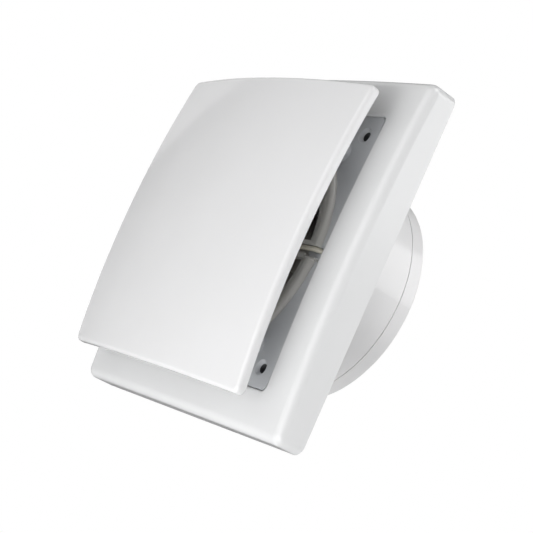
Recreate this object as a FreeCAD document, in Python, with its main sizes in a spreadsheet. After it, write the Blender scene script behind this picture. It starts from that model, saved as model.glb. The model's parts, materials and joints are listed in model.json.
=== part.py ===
"""Bathroom extractor fan for a 100 mm duct, as separate pieces in one frame.

+X is right, +Y is into the wall along the duct, +Z is up. The origin is on the duct's axis, in
the plane of the wall. A depth is measured from the wall into the room, so it is minus y.
"""
import FreeCAD, Part

import math
import os
import re

import Sketcher

Vector = FreeCAD.Vector
Rotation = FreeCAD.Rotation

# ---------------------------------------------------------------- driving dimensions, in mm
SIZES = {
    # square frame against the wall
    "frame_size": 150.0,
    "frame_corner": 4.3,
    "frame_edge": 12.2,
    "frame_bow_tall": 3.5,
    "frame_bow_wide": 3.3,
    "frame_round": 3.9,
    "frame_wall": 2.4,
    "opening_corner": 2.5,
    "opening_round": 1.0,
    # moulded housing: plate, pan, flange and duct tube
    "plate_depth": 14.8,
    "plate_wall": 2.5,
    "plate_gap": 0.2,
    "skirt_wall": 2.0,
    "flange_wall": 2.0,
    "flange_gap": 0.3,
    "tube_radius": 49.5,
    "tube_wall": 2.0,
    "tube_length": 34.7,
    "tube_collar": 0.5,
    "pan_corner": 0.5,
    "seam_width": 0.35,
    "seam_depth": 0.8,
    "rim_chamfer": 0.35,
    "joint_length": 4.0,
    "joint_wall": 1.0,
    "nib_width": 8.0,
    "nib_height": 2.4,
    "nib_reach": 1.6,
    "nib_depth": 7.0,
    "nib_fit": 0.3,
    # wall screws and panel sockets
    "screw_side": 8.0,
    "screw_top": 8.1,
    "screw_hole": 3.8,
    "screw_sink": 6.6,
    "pillar_wall": 2.5,
    "post_margin": 9.19,
    "post_radius": 2.8,
    "post_fit": 0.3,
    "post_length": 11.0,
    "socket_wall": 1.2,
    "socket_rise": 3.0,
    "socket_length": 13.0,
    "seat_gap": 0.2,
    # front panel
    "panel_size": 127.8,
    "panel_corner": 3.0,
    "panel_edge_depth": 30.4,
    "panel_bow_tall": 4.3,
    "panel_bow_wide": 5.3,
    "panel_edge": 4.0,
    "panel_wall": 2.4,
    "panel_round": 1.8,
    "panel_back_round": 0.5,
    # intake ring and its spokes
    "ring_overlap": 4.4,
    "ring_step": 1.1,
    "ring_rise": 2.2,
    "ring_round": 1.9,
    "collar_length": 1.8,
    "collar_wall": 1.1,
    "collar_lip": 0.6,
    "spoke_count": 3.0,
    "spoke_width": 7.2,
    "spoke_depth": 4.2,
    "spoke_offset": 0.75,
    "channel_width": 3.6,
    "channel_depth": 2.2,
    "crossing_room": 1.2,
    "lead_radius": 1.05,
    "lead_play": 0.05,
    "lead_gap": 0.3,
    "lead_fit": 0.2,
    "lead_back_depth": 3.0,
    "lead_turn": 3.2,
    "lead_bend": 5.0,
    "lead_corner": 6.55,
    "hook_width": 1.0,
    "ring_sink": 1.2,
    # motor cup and cap
    "cup_radius": 27.5,
    "cup_wall": 2.0,
    "cup_back": 11.8,
    "cup_round": 0.8,
    "stator_step": 2.1,
    "cap_wall": 1.6,
    "cap_spigot": 1.6,
    "coil_room": 4.0,
    "lug_radius": 2.9,
    "lug_step": 2.1,
    "lug_length": 8.0,
    "vent_count": 10.0,
    "vent_width": 2.4,
    "vent_margin": 2.0,
    "dome_wall": 1.2,
    "dome_round": 0.8,
    # motor
    "stack_length": 10.0,
    "stator_fit": 0.1,
    "stator_yoke": 3.4,
    "stator_bore": 11.4,
    "shoe_wall": 2.1,
    "shoe_gap": 4.4,
    "pole_width": 7.0,
    "pole_count": 4.0,
    "coil_wall": 1.8,
    "bobbin_wall": 0.8,
    "bobbin_fit": 0.15,
    "shade_wire": 0.8,
    "shade_offset": 1.5,
    "shade_fit": 0.05,
    "shade_room": 0.3,
    "air_gap": 0.35,
    "cage_ring": 1.2,
    "cage_band": 2.8,
    "bar_count": 12.0,
    "bar_radius": 0.8,
    "shaft_radius": 1.5,
    "shaft_chamfer": 0.3,
    "bearing_radius": 4.0,
    "bearing_length": 4.2,
    "bearing_fit": 0.05,
    "bearing_seat": 2.0,
    "washer_wall": 0.5,
    "washer_radius": 3.5,
    "end_play": 0.2,
    # impeller
    "hub_radius": 25.0,
    "hub_wall": 1.8,
    "hub_gap": 1.7,
    "hub_length": 15.8,
    "hub_boss": 4.5,
    "hub_round": 1.5,
    "blade_count": 7.0,
    "blade_tip_gap": 1.3,
    "blade_setback": 1.8,
    "blade_wall": 1.6,
    "root_sweep": 13.0,
    "tip_sweep": 24.0,
    "blade_camber": 2.0,
    "nut_radius": 4.2,
    "nut_wall": 2.0,
    "shaft_tail": 1.5,
    # small screws
    "small_shank": 1.2,
    "small_head": 2.3,
    "small_head_wall": 1.5,
    "small_length": 7.0,
    "small_boss": 2.7,
    "screw_play": 0.1,
    "screw_chamfer": 0.4,
    "recess_reach": 0.6,
    "recess_width": 0.14,
    "recess_depth": 0.8,
    "ring_boss": 6.0,
    # terminal compartment and cable entry
    "block_shift": 5.1,
    "block_wide": 13.0,
    "block_tall": 7.4,
    "block_rise": 8.0,
    "clamp_size": 3.8,
    "clamp_seat": 1.6,
    "clamp_inset": 0.4,
    "clamp_bore": 1.3,
    "divider_width": 0.8,
    "divider_depth": 2.0,
    "terminal_head": 1.5,
    "terminal_shank": 1.0,
    "terminal_length": 1.5,
    "cover_wall": 1.2,
    "cover_room": 0.6,
    "cover_rise": 10.0,
    "cover_gap": 0.6,
    "cover_edge": 0.3,
    "entry_side": 8.1,
    "entry_drop": 8.1,
    "entry_bore": 2.9,
    "grommet_wall": 1.0,
    "grommet_flange": 1.2,
    "grommet_lip": 0.9,
    # back-draught shutter
    "shutter_length": 7.1,
    "collar_fit": 0.2,
    "shutter_collar": 5.0,
    "seat_width": 2.6,
    "seat_wall": 1.4,
    "bar_width": 5.0,
    "bar_depth": 3.2,
    "pin_radius": 0.9,
    "pin_fit": 0.08,
    "knuckle_wall": 0.9,
    "knuckle_length": 17.0,
    "knuckle_gap": 0.4,
    "flap_wall": 1.2,
    "flap_gap": 0.5,
    "flap_rest": 0.3,
    "spring_wire": 0.25,
    "spring_turns": 4.0,
    "spring_pitch": 0.6,
    "spring_arm": 12.0,
    "spring_zone": 8.0,
}

# ---------------------------------------------------------------- places worked out from them
FRAME_HALF = "(frame_size / 2)"
FRAME_CENTRE = "(frame_edge + frame_bow_tall + frame_bow_wide)"
CROWN_TAIL = "flange_wall"
POST_BORE = "(post_radius + post_fit)"
SOCKET_RADIUS = f"({POST_BORE} + socket_wall)"
POST_PLACE = "((tube_radius + post_margin) / sqrt(2))"
COVER_MARGIN = "(cover_room + cover_wall)"
BLOCK_X = f"(block_shift - {POST_PLACE})"
BLOCK_Z = f"({POST_PLACE} + {SOCKET_RADIUS} + cover_gap + {COVER_MARGIN} + block_tall / 2)"
BLOCK_LEFT = f"({BLOCK_X} - block_wide / 2)"
BLOCK_RIGHT = f"({BLOCK_X} + block_wide / 2)"
BLOCK_LOW = f"({BLOCK_Z} - block_tall / 2)"
BLOCK_HIGH = f"({BLOCK_Z} + block_tall / 2)"
PAN_HALF = f"({BLOCK_HIGH} + {COVER_MARGIN} + cover_edge)"
OPENING_HALF = f"({PAN_HALF} + plate_gap)"
FRAME_LIP = f"({OPENING_HALF} + frame_wall)"
SCREW_X = f"({PAN_HALF} - screw_side)"
SCREW_Z = f"({PAN_HALF} - screw_top)"
ENTRY_X = f"(entry_side - {PAN_HALF})"
ENTRY_Z = f"({POST_PLACE} - entry_drop)"
PAN_INNER = f"({PAN_HALF} - skirt_wall)"
FLANGE_HALF = f"({FRAME_HALF} - frame_wall - flange_gap)"
PLATE_BACK = "(plate_depth - plate_wall)"
TUBE_INNER = "(tube_radius - tube_wall)"
JOINT_RADIUS = f"({TUBE_INNER} + joint_wall)"
SOCKET_TOP = "(plate_depth + socket_rise)"
PANEL_HALF = "(panel_size / 2)"
PANEL_CENTRE = "(panel_edge_depth + panel_bow_tall + panel_bow_wide)"
RING_TOP = "(plate_depth + ring_rise)"
RING_INNER = f"({TUBE_INNER} + ring_step)"
RING_OUTER = "(tube_radius + ring_overlap)"
RING_MIDDLE = f"(({RING_INNER} + {RING_OUTER}) / 2)"
COLLAR_OUTER = f"({TUBE_INNER} - collar_fit)"
COLLAR_INNER = f"({COLLAR_OUTER} - collar_wall)"
CHANNEL_FLOOR = f"({RING_TOP} - channel_depth)"
CHANNEL_Z = "(-spoke_offset)"
CUP_INNER = "(cup_radius - cup_wall)"
CUP_FLOOR = "(cup_back + cup_wall)"
LUG_CIRCLE = "(cup_radius + lug_step)"
STACK_BACK = f"({CUP_FLOOR} + coil_room)"
STACK_FRONT = f"({STACK_BACK} + stack_length)"
CUP_FRONT = f"({STACK_FRONT} + coil_room)"
CAP_FRONT = f"({CUP_FRONT} + cap_wall)"
STATOR_RADIUS = f"({CUP_INNER} - stator_fit)"
YOKE_INNER = f"({STATOR_RADIUS} - stator_yoke)"
SHOE_RADIUS = "(stator_bore + shoe_wall)"
ROTOR_RADIUS = "(stator_bore - air_gap)"
CAGE_BACK = f"({STACK_BACK} - cage_ring)"
CAGE_FRONT = f"({STACK_FRONT} + cage_ring)"
REAR_WASHER = f"({CAGE_BACK} - end_play - washer_wall)"
REAR_BEARING = f"({REAR_WASHER} - end_play - bearing_length)"
FRONT_WASHER = f"({CAGE_FRONT} + end_play)"
FRONT_BEARING = f"({FRONT_WASHER} + washer_wall + end_play)"
DOME_INNER = f"({FRONT_BEARING} + bearing_length)"
BEARING_SEAT = "(bearing_radius + bearing_seat)"
HUB_FRONT = f"({REAR_BEARING} - hub_gap)"
HUB_BACK = f"({HUB_FRONT} - hub_length)"
NUT_BACK = f"({HUB_BACK} - nut_wall)"
BLADE_TIP = f"({TUBE_INNER} - blade_tip_gap)"
LEAD_X = f"({PAN_INNER} - lead_radius - lead_gap)"
LEAD_Z = f"({CHANNEL_Z} + channel_width / 2 - lead_radius - lead_play)"
LEAD_DEPTH = f"({CHANNEL_FLOOR} + lead_radius + lead_play)"
SHUTTER_BACK = "(tube_length + shutter_length)"
SEAT_INNER = f"({TUBE_INNER} - seat_width)"
SEAT_BACK = "(tube_length + seat_wall)"
FLAP_FRONT = f"({SEAT_BACK} + flap_rest)"
KNUCKLE_RADIUS = "(pin_radius + pin_fit + knuckle_wall)"
PIN_PLACE = f"({FLAP_FRONT} + {KNUCKLE_RADIUS})"
FLAP_RADIUS = f"({TUBE_INNER} - flap_gap)"
LEAD_TOP = f"({PAN_INNER} - lead_radius - lead_gap)"
BAR_CIRCLE = f"({ROTOR_RADIUS} - cage_band / 2)"
SHADE_X = "(stator_bore + (shoe_wall - shade_wire) / 2)"
SHADE_OUTSIDE = f"(sqrt({SHOE_RADIUS}^2 - ({SHADE_X})^2) + shade_room)"
BOBBIN_START = f"({SHOE_RADIUS} + bobbin_fit)"
BOBBIN_HALF = "(pole_width / 2 + bobbin_fit + bobbin_wall + coil_wall)"
BOBBIN_REACH = f"(sqrt(({YOKE_INNER})^2 - {BOBBIN_HALF}^2) - bobbin_fit - {BOBBIN_START})"
PIN_REACH = f"(({TUBE_INNER} + tube_radius) / 2)"
SMALL_HOLE = "(small_length + end_play)"
LEAD_SWEEP = f"({LEAD_X} - lead_corner)"
COVER_SCREW_X = f"({BLOCK_RIGHT} + {COVER_MARGIN} + small_boss)"
GROMMET_NECK = "(entry_bore + grommet_wall)"

SCREW_TURN = 60.0       # the small screws stand half-way between the spokes
POLE_TURN = 45.0        # the gaps between the pole shoes stand half-way between the poles
ARC_REACH = 1.15        # how far a crowned face is drawn past the edge it is cut to
NEAR_ZERO = 1e-7        # a place this near an axis is on it
SAME_SIZE = 1e-4        # edges are picked out to this accuracy

doc = FreeCAD.newDocument("ExtractorFan")
sheet = doc.addObject("Spreadsheet::Sheet", "sizes")
for row, (name, size) in enumerate(SIZES.items(), start=1):
    sheet.set(f"A{row}", name)
    sheet.set(f"B{row}", str(size))
    sheet.setAlias(f"B{row}", name)
doc.recompute()

pieces = []


def bound(formula):
    """Write a formula as the expression engine reads it, each size led by the sheet's name."""
    return re.sub(r"[a-z]\w*", lambda word: f"sizes.{word[0]}" if word[0] in SIZES else word[0], formula)


def value(formula):
    """Work a formula out to a plain number."""
    result = sheet.evalExpression(bound(formula))
    return float(getattr(result, "Value", result))


def negative(formula):
    return f"(-{formula})"


def finish(piece, label):
    """Name a finished piece after the file that it goes to."""
    piece.Label = label
    pieces.append(piece)
    return piece


# ---------------------------------------------------------------- sketches
def new_body(label, turn=0.0):
    """Start a body, turned about the duct's axis, anticlockwise as seen from the room."""
    body = doc.addObject("PartDesign::Body", label)
    body.Placement = FreeCAD.Placement(Vector(), Rotation(Vector(0, 1, 0), -turn))
    return finish(body, label)


def origin_item(body, role):
    return next(item for item in body.Origin.OriginFeatures if item.Role == role)


def sketch_on(body, role, offset="0", turn=0.0):
    """Attach a sketch to one of the body's own origin planes, at a distance along its normal."""
    sketch = body.newObject("Sketcher::SketchObject", "Sketch")
    sketch.AttachmentSupport = [(origin_item(body, role), "")]
    sketch.MapMode = "FlatFace"
    sketch.AttachmentOffset = FreeCAD.Placement(Vector(), Rotation(Vector(0, 0, 1), turn))
    sketch.setExpression("AttachmentOffset.Base.z", bound(offset))
    return sketch


def front_sketch(body, depth="0", turn=0.0):
    """Sketch in a plane parallel to the wall: x is right, y is up and the normal is into the room."""
    return sketch_on(body, "XZ_Plane", depth, turn)


def free_sketch(name, rotation):
    sketch = doc.addObject("Sketcher::SketchObject", name)
    sketch.Placement = FreeCAD.Placement(Vector(), rotation)
    return sketch


def hold_along(sketch, axis, element, point, formula):
    """Hold one coordinate of a point to a formula; a distance is always given as a positive one."""
    place = value(formula)
    if abs(place) < NEAR_ZERO:
        other_axis = -2 if axis == "X" else -1
        sketch.addConstraint(Sketcher.Constraint("PointOnObject", element, point, other_axis))
        return
    ends = (-1, 1, element, point) if place > 0 else (element, point, -1, 1)
    index = sketch.addConstraint(Sketcher.Constraint(f"Distance{axis}", *ends, abs(place)))
    sketch.setExpression(f"Constraints[{index}]", bound(formula if place > 0 else negative(f"({formula})")))


def hold(sketch, element, point, across, along):
    hold_along(sketch, "X", element, point, across)
    hold_along(sketch, "Y", element, point, along)


def hold_radius(sketch, element, radius):
    index = sketch.addConstraint(Sketcher.Constraint("Radius", element, value(radius)))
    sketch.setExpression(f"Constraints[{index}]", bound(radius))


def polygon(sketch, corners):
    """Draw a closed outline of straight lines through corners given as pairs of formulas."""
    points = [Vector(value(across), value(along)) for across, along in corners]
    first = sketch.GeometryCount
    for index, point in enumerate(points):
        sketch.addGeometry(Part.LineSegment(point, points[(index + 1) % len(points)]))
    for index, corner in enumerate(corners):
        follower = first + (index + 1) % len(points)
        sketch.addConstraint(Sketcher.Constraint("Coincident", first + index, 2, follower, 1))
        hold(sketch, first + index, 1, *corner)


def rectangle(sketch, left, right, bottom, top):
    polygon(sketch, [(left, bottom), (right, bottom), (right, top), (left, top)])


def circle(sketch, across, along, radius):
    centre = Vector(value(across), value(along))
    element = sketch.addGeometry(Part.Circle(centre, Vector(0, 0, 1), value(radius)))
    hold(sketch, element, 3, across, along)
    hold_radius(sketch, element, radius)


def four_circles(sketch, across, along, radius):
    """Draw a circle at each corner of a rectangle about the origin, given one corner."""
    for side in ("", "-"):
        for level in ("", "-"):
            circle(sketch, f"({side}{across})", f"({level}{along})", radius)


def rounded_square(sketch, half, corner):
    """Draw a square about the origin, its corners rounded."""
    inner = f"({half} - {corner})"
    arcs = []
    for quarter, (across, along) in enumerate([("", ""), ("-", ""), ("-", "-"), ("", "-")]):
        middle = (f"({across}{inner})", f"({along}{inner})")
        ring = Part.Circle(Vector(value(middle[0]), value(middle[1])), Vector(0, 0, 1), value(corner))
        start = math.pi / 2 * quarter
        arc = sketch.addGeometry(Part.ArcOfCircle(ring, start, start + math.pi / 2))
        hold(sketch, arc, 3, *middle)
        hold_radius(sketch, arc, corner)
        arcs.append(arc)
    for arc, follower in zip(arcs, arcs[1:] + arcs[:1]):
        side = Part.LineSegment(sketch.getPoint(arc, 2), sketch.getPoint(follower, 1))
        line = sketch.addGeometry(side)
        sketch.addConstraint(Sketcher.Constraint("Tangent", arc, 2, line, 1))
        sketch.addConstraint(Sketcher.Constraint("Tangent", line, 2, follower, 1))


# ---------------------------------------------------------------- features of a body
def feature(body, kind, name, sketch):
    made = body.newObject(f"PartDesign::{kind}", name)
    made.Profile = sketch
    return made


def pad(body, sketch, length):
    """Add material from the sketch along its normal."""
    made = feature(body, "Pad", "Pad", sketch)
    made.setExpression("Length", bound(length))
    return made


def pocket(body, sketch, length=None, along_normal=False):
    """Cut from the sketch, against its normal unless said otherwise; with no length, right through."""
    made = feature(body, "Pocket", "Pocket", sketch)
    made.Reversed = along_normal
    if length is None:
        made.Type = "ThroughAll"
    else:
        made.setExpression("Length", bound(length))
    return made


def turned(body, kind, profile, across, up):
    """Turn a profile about the duct's axis, or about a line beside it.

    The profile is pairs of formulas: radius, and depth in front of the wall.
    """
    sketch = sketch_on(body, "XY_Plane", up)
    sketch.setExpression("AttachmentOffset.Base.x", bound(across))
    polygon(sketch, [(radius, negative(depth)) for radius, depth in profile])
    made = feature(body, kind, kind, sketch)
    made.ReferenceAxis = (sketch, ["V_Axis"])
    made.Angle = 360
    return made


def revolve(body, profile, across="0", up="0"):
    return turned(body, "Revolution", profile, across, up)


def groove(body, profile, across="0", up="0"):
    return turned(body, "Groove", profile, across, up)


def ring_profile(inner, outer, back, front):
    return [(inner, back), (outer, back), (outer, front), (inner, front)]


def around(body, features, count):
    """Repeat features evenly about the duct's axis."""
    made = body.newObject("PartDesign::PolarPattern", "PolarPattern")
    made.Originals = features
    made.Axis = (origin_item(body, "Y_Axis"), [""])
    made.Angle = 360
    made.setExpression("Occurrences", bound(count))
    body.Tip = made
    return made


def edges_where(shape, test):
    return [f"Edge{index}" for index, edge in enumerate(shape.Edges, start=1) if test(edge)]


def circle_at(radius, depth):
    """Pick out circular edges about the duct's axis, by radius and depth."""
    size, place = value(radius), -value(depth)

    def test(edge):
        curve = edge.Curve
        if not isinstance(curve, Part.Circle):
            return False
        return abs(curve.Radius - size) < SAME_SIZE and abs(curve.Center.y - place) < SAME_SIZE

    return test


def hole_edge(radius, depth):
    """Pick out circular edges parallel to the wall, by radius and depth, wherever they stand."""
    size, place = value(radius), -value(depth)

    def test(edge):
        curve = edge.Curve
        if not isinstance(curve, Part.Circle):
            return False
        level = abs(abs(curve.Axis.y) - 1) < NEAR_ZERO
        return level and abs(curve.Radius - size) < SAME_SIZE and abs(curve.Center.y - place) < SAME_SIZE

    return test


def upright_edge(edge):
    """Pick out straight edges at right angles to the wall."""
    return isinstance(edge.Curve, Part.Line) and abs(edge.Curve.Direction.y) > 1 - NEAR_ZERO


def dress(body, kind, size_name, size, test):
    """Fillet or chamfer the edges of the body's last feature that pass the test."""
    doc.recompute()
    base = body.Tip
    edges = edges_where(base.Shape, test)
    made = body.newObject(f"PartDesign::{kind}", kind)
    made.Base = (base, edges)
    made.setExpression(size_name, bound(size))
    return made


def fillet(body, radius, test):
    return dress(body, "Fillet", "Radius", radius, test)


def chamfer(body, size, test):
    return dress(body, "Chamfer", "Size", size, test)


# ---------------------------------------------------------------- solids made by booleans
WALL_PLANE = Rotation(Vector(1, 0, 0), 90)
SIDE_PLANE = Rotation(Vector(0, 1, 0), Vector(0, 0, 1), Vector(1, 0, 0))


def extruded(sketch, length, start="0"):
    """Extrude a sketch in the wall's plane into the room, from one depth and for a length."""
    sketch.setExpression("Placement.Base.y", bound(negative(start)))
    made = doc.addObject("Part::Extrusion", "Extrusion")
    made.Base = sketch
    made.DirMode = "Custom"
    made.Dir = Vector(0, -1, 0)
    made.setExpression("LengthFwd", bound(length))
    made.Solid = True
    return made


def square_prism(half, corner, length):
    sketch = free_sketch("Outline", WALL_PLANE)
    rounded_square(sketch, half, corner)
    return extruded(sketch, length)


def strip(across, up, start, length):
    """A bar about the axis, given by its half-width, half-height, start and length in depth."""
    sketch = free_sketch("Strip", WALL_PLANE)
    rectangle(sketch, negative(across), across, negative(up), up)
    return extruded(sketch, length, start)


def crown(half, centre, bow_tall, bow_wide, setback="0"):
    """The space behind a crowned face, run on a little way behind the wall's plane.

    The face bows along its upright edges by one amount and along its level edges by another. It is
    part of a torus: an upright arc carried round an upright axis. The setback draws it further back
    by the same amount everywhere.
    """
    arc_radius = f"(({half})^2 / (2 * {bow_tall}) + {bow_tall} / 2)"
    sweep_radius = f"(({half})^2 / (2 * {bow_wide}) + {bow_wide} / 2)"
    arc_middle = f"({arc_radius} - {centre})"
    reach = f"({ARC_REACH} * {half})"
    sketch = free_sketch("Crown", SIDE_PLANE)
    radius = value(f"{arc_radius} - {setback}")
    lean = math.asin(value(reach) / radius)
    ring = Part.Circle(Vector(value(arc_middle), 0), Vector(0, 0, 1), radius)
    arc = sketch.addGeometry(Part.ArcOfCircle(ring, math.pi - lean, math.pi + lean))
    hold(sketch, arc, 3, arc_middle, "0")
    hold_radius(sketch, arc, f"{arc_radius} - {setback}")
    top, bottom = sketch.getPoint(arc, 1), sketch.getPoint(arc, 2)
    back = value(CROWN_TAIL)
    corners = [bottom, Vector(back, bottom.y), Vector(back, top.y), top]
    lines = [sketch.addGeometry(Part.LineSegment(*pair)) for pair in zip(corners, corners[1:])]
    for first, second in zip([arc] + lines, lines + [arc]):
        sketch.addConstraint(Sketcher.Constraint("Coincident", first, 2, second, 1))
    hold(sketch, lines[1], 1, CROWN_TAIL, negative(reach))
    hold(sketch, lines[1], 2, CROWN_TAIL, reach)
    sketch.addConstraint(Sketcher.Constraint("Horizontal", lines[0]))
    sketch.addConstraint(Sketcher.Constraint("Horizontal", lines[2]))
    made = doc.addObject("Part::Revolution", "CrownSpace")
    made.Source = sketch
    made.Axis = Vector(0, 0, 1)
    made.setExpression("Base.y", bound(f"{sweep_radius} - {centre}"))
    made.setExpression("Angle", bound(f"2 * asin({reach} / ({sweep_radius} - {centre} - {CROWN_TAIL}))"))
    made.Symmetric = True
    made.Solid = True
    return made


def both(first, second, kind="Common"):
    made = doc.addObject(f"Part::{kind}", kind)
    made.Base = first
    made.Tool = second
    return made


def without(base, *tools):
    for tool in tools:
        base = both(base, tool, "Cut")
    return base


def joined(*solids):
    made = doc.addObject("Part::MultiFuse", "Fusion")
    made.Shapes = list(solids)
    made.Refine = True
    return made


def front_face(block):
    doc.recompute()
    return min(block.Shape.Faces, key=lambda side: side.CenterOfMass.y)


def holed_face(block):
    """The one face of a block that has an opening in it."""
    doc.recompute()
    return next(side for side in block.Shape.Faces if len(side.Wires) == 2)


def inner_rim(face):
    return next(wire for wire in face.Wires if not wire.isSame(face.OuterWire))


def rounded(block, radius, rim):
    """Round a block along a rim, which is a wire of one of its faces."""
    size = value(radius)
    edges = [index for index, edge in enumerate(block.Shape.Edges, start=1)
             if any(edge.isSame(part) for part in rim.Edges)]
    made = doc.addObject("Part::Fillet", "RimRound")
    made.Base = block
    made.Edges = [(index, size, size) for index in edges]
    return made


# ---------------------------------------------------------------- frame and front panel
def make_frame():
    """The visible square frame: outer wall, crowned border and an inner wall down to the flange."""
    face = (FRAME_HALF, FRAME_CENTRE, "frame_bow_tall", "frame_bow_wide")
    prism = square_prism(FRAME_HALF, "frame_corner", f"{FRAME_CENTRE} + frame_wall")
    block = both(prism, crown(*face))
    block = rounded(block, "frame_round", front_face(block).OuterWire)
    opening = square_prism(OPENING_HALF, "opening_corner", f"{FRAME_CENTRE} + frame_wall")
    block = without(block, opening)
    block = rounded(block, "opening_round", inner_rim(front_face(block)))
    hollow = square_prism(f"{FRAME_HALF} - frame_wall", "(frame_corner - frame_wall)", FRAME_CENTRE)
    inner_wall = square_prism(FRAME_LIP, "(opening_corner + frame_wall)", FRAME_CENTRE)
    cavity = without(both(hollow, crown(*face, setback="frame_wall")), inner_wall)
    flange_room = square_prism(f"{FRAME_HALF} - frame_wall", "(frame_corner - frame_wall)", "flange_wall")
    half_width = "(nib_width / 2 + nib_fit)"
    start = "(nib_depth - nib_height / 2 - nib_fit)"
    height = "(nib_height + 2 * nib_fit)"
    upright = strip(half_width, f"({PAN_HALF} + nib_reach + nib_fit)", start, height)
    level = strip(f"({PAN_HALF} + nib_reach + nib_fit)", half_width, start, height)
    finish(without(block, cavity, flange_room, upright, level), "frame")


def make_front_panel():
    """The pull-off panel: a crowned shell with a deeper rim and four posts."""
    face = (PANEL_HALF, PANEL_CENTRE, "panel_bow_tall", "panel_bow_wide")
    prism = square_prism(PANEL_HALF, "panel_corner", f"{PANEL_CENTRE} + panel_wall")
    block = both(prism, crown(*face))
    block = rounded(block, "panel_round", front_face(block).OuterWire)
    recess_prism = square_prism(f"({PANEL_HALF} - panel_wall)", "(panel_corner - panel_wall)", PANEL_CENTRE)
    recess = both(recess_prism, crown(*face, setback="panel_wall"))
    shell = without(block, crown(*face, setback="panel_edge"), recess)
    shell = rounded(shell, "panel_back_round", holed_face(shell).OuterWire)
    fall = f"(({POST_PLACE} / {PANEL_HALF})^2 * (panel_bow_wide + panel_bow_tall))"
    wall_middle = f"({PANEL_CENTRE} - {fall} - panel_wall / 2)"
    shoulder = f"({SOCKET_TOP} + seat_gap)"
    legs = free_sketch("Legs", WALL_PLANE)
    four_circles(legs, POST_PLACE, POST_PLACE, SOCKET_RADIUS)
    pins = free_sketch("Posts", WALL_PLANE)
    four_circles(pins, POST_PLACE, POST_PLACE, "post_radius")
    leg_solids = extruded(legs, f"{wall_middle} - {shoulder}", shoulder)
    pin_solids = extruded(pins, "post_length + 2 * seat_gap", f"({SOCKET_TOP} - post_length)")
    finish(joined(shell, leg_solids, pin_solids), "front_panel")


# ---------------------------------------------------------------- housing
def make_housing():
    """The moulding behind everything, and the duct tube that stands in its collar's stepped seat."""
    body = new_body("housing")
    sketch = front_sketch(body)
    rounded_square(sketch, PAN_HALF, "(opening_corner - plate_gap)")
    pad(body, sketch, "plate_depth")
    sketch = front_sketch(body)
    rounded_square(sketch, FLANGE_HALF, "(frame_corner - frame_wall - flange_gap)")
    pad(body, sketch, "flange_wall")
    reach = f"({PAN_HALF} + nib_reach)"
    for across, up in [("(nib_width / 2)", reach), (reach, "(nib_width / 2)")]:
        sketch = front_sketch(body, "(nib_depth - nib_height / 2)")
        rectangle(sketch, negative(across), across, negative(up), up)
        pad(body, sketch, "nib_height")
    sketch = front_sketch(body)
    rounded_square(sketch, PAN_INNER, "pan_corner")
    pocket(body, sketch, PLATE_BACK, along_normal=True)

    root = f"({PLATE_BACK} + plate_wall / 2)"
    collar = "(tube_radius + tube_collar)"
    revolve(body, [(TUBE_INNER, root), (collar, root), (collar, "0"), (JOINT_RADIUS, "0"),
                   (JOINT_RADIUS, "joint_length"), (TUBE_INNER, "joint_length")])

    sketch = front_sketch(body)
    four_circles(sketch, SCREW_X, SCREW_Z, "(screw_hole / 2 + pillar_wall)")
    pad(body, sketch, root)
    sketch = front_sketch(body, f"({SOCKET_TOP} - socket_length)")
    four_circles(sketch, POST_PLACE, POST_PLACE, SOCKET_RADIUS)
    pad(body, sketch, "socket_length")
    sketch = front_sketch(body, f"({PLATE_BACK} - ring_boss)", SCREW_TURN)
    circle(sketch, RING_MIDDLE, "0", "small_boss")
    around(body, [pad(body, sketch, "(ring_boss + plate_wall / 2)")], "spoke_count")
    sketch = front_sketch(body, f"({PLATE_BACK} - ring_boss)")
    circle(sketch, COVER_SCREW_X, BLOCK_Z, "small_boss")
    pad(body, sketch, "(ring_boss + plate_wall / 2)")

    sketch = front_sketch(body)
    circle(sketch, "0", "0", TUBE_INNER)
    pocket(body, sketch, along_normal=True)
    sketch = front_sketch(body)
    four_circles(sketch, SCREW_X, SCREW_Z, "(screw_hole / 2)")
    pocket(body, sketch, along_normal=True)
    chamfer(body, "((screw_sink - screw_hole) / 2)", hole_edge("screw_hole / 2", "plate_depth"))
    sketch = front_sketch(body)
    four_circles(sketch, POST_PLACE, POST_PLACE, POST_BORE)
    pocket(body, sketch, along_normal=True)
    sketch = front_sketch(body, "plate_depth", SCREW_TURN)
    circle(sketch, RING_MIDDLE, "0", "small_shank")
    around(body, [pocket(body, sketch, SMALL_HOLE)], "spoke_count")
    sketch = front_sketch(body, "plate_depth")
    circle(sketch, COVER_SCREW_X, BLOCK_Z, "small_shank")
    pocket(body, sketch, SMALL_HOLE)

    sketch = front_sketch(body, "plate_depth")
    circle(sketch, ENTRY_X, ENTRY_Z, GROMMET_NECK)
    circle(sketch, BLOCK_X, LEAD_TOP, "(lead_radius + lead_fit)")
    pocket(body, sketch)
    sketch = front_sketch(body, "plate_depth")
    half = "(lead_radius + lead_fit)"
    rectangle(sketch, f"({LEAD_X} - lead_turn - lead_fit)", f"({LEAD_X} + {half})",
              f"({LEAD_Z} - {half})", f"({LEAD_Z} + {half})")
    pocket(body, sketch, "plate_wall")

    tube = new_body("duct_tube")
    revolve(tube, [(TUBE_INNER, "joint_length"), (JOINT_RADIUS, "joint_length"), (JOINT_RADIUS, "0"),
                   ("tube_radius", "0"), ("tube_radius", "(-tube_length)"),
                   (TUBE_INNER, "(-tube_length)")])


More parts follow.
